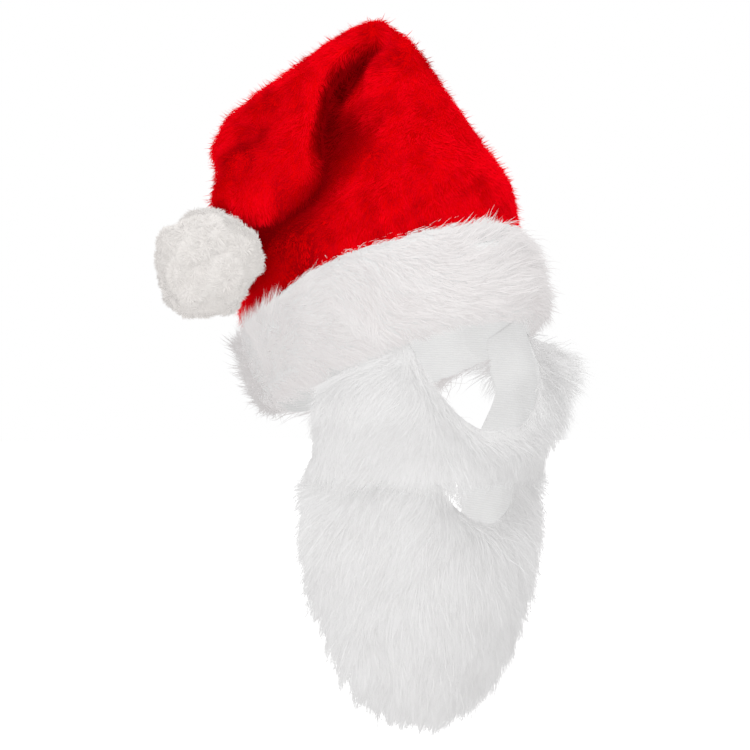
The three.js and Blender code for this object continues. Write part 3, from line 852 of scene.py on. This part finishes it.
# floor, lights and camera
floorLook = {"size": 3.0, "height": -0.31, "colour": (0.9, 0.9, 0.9)}
bm = bmesh.new()
bmesh.ops.create_circle(bm, cap_ends=True, segments=96, radius=floorLook["size"])
bmesh.ops.translate(bm, verts=bm.verts, vec=(0, 0, floorLook["height"]))
floorMesh = bpy.data.meshes.new("floor")
bm.to_mesh(floorMesh)
bm.free()
floor = bpy.data.objects.new("floor", floorMesh)
scene.collection.objects.link(floor)
floorMaterial, tree, shader = newMaterial("floor", 0.9)
shader.inputs["Base Color"].default_value = (*floorLook["colour"], 1)
shader.inputs["Emission Color"].default_value = (1, 1, 1, 1)
seen = tree.nodes.new("ShaderNodeLightPath")
tree.links.new(seen.outputs["Is Camera Ray"], shader.inputs["Emission Strength"])
floorMesh.materials.append(floorMaterial)

lightLook = {
    "sky": 0.61,
    "key": {"watts": 10.0, "size": 1.2, "from": (-38, 50), "distance": 1.7},
    "fill": {"watts": 4.5, "size": 1.4, "from": (-95, 10), "distance": 1.7},
    "front": {"watts": 4.0, "size": 1.0, "from": (-42, 4), "distance": 2.2},
    "back": {"watts": 11.0, "size": 1.2, "from": (105, 32), "distance": 1.7},
}
world = bpy.data.worlds.new("studio")
scene.world = world
world.use_nodes = True
tree = world.node_tree
sky = tree.nodes["Background"]
sky.inputs["Color"].default_value = (1, 1, 1, 1)
sky.inputs["Strength"].default_value = lightLook["sky"]
backdrop = tree.nodes.new("ShaderNodeBackground")
backdrop.inputs["Color"].default_value = (1, 1, 1, 1)
seen = tree.nodes.new("ShaderNodeLightPath")
either = tree.nodes.new("ShaderNodeMixShader")
tree.links.new(seen.outputs["Is Camera Ray"], either.inputs[0])
tree.links.new(sky.outputs[0], either.inputs[1])
tree.links.new(backdrop.outputs[0], either.inputs[2])
tree.links.new(either.outputs[0], tree.nodes["World Output"].inputs["Surface"])


def aim(azimuth, elevation):
    a, e = radians(azimuth), radians(elevation)
    return Vector((sin(a) * cos(e), -cos(a) * cos(e), sin(e)))


for name in ("key", "fill", "front", "back"):
    look = lightLook[name]
    lamp = bpy.data.objects.new(name, bpy.data.lights.new(name, "AREA"))
    lamp.data.energy = look["watts"]
    lamp.data.size = look["size"]
    lamp.location = aim(*look["from"]) * look["distance"]
    lamp.rotation_euler = lamp.location.to_track_quat("Z", "Y").to_euler()
    scene.collection.objects.link(lamp)

cameraLook = {"from": (-45, 3), "distance": 1.9, "lens": 134.1, "right": -0.0102, "up": -0.0394}
toCamera = aim(*cameraLook["from"])
turn = radians(cameraLook["from"][0])
toRight = Vector((cos(turn), sin(turn), 0))
toUp = toCamera.cross(toRight)
camera = bpy.data.objects.new("camera", bpy.data.cameras.new("camera"))
camera.data.lens = cameraLook["lens"]
camera.data.sensor_width = 36
camera.location = toRight * cameraLook["right"] + toUp * cameraLook["up"] + toCamera * cameraLook["distance"]
camera.rotation_euler = toCamera.to_track_quat("Z", "Y").to_euler()
scene.collection.objects.link(camera)
scene.camera = camera
scene.view_settings.view_transform = "Standard"
print("floor, lights and camera placed")
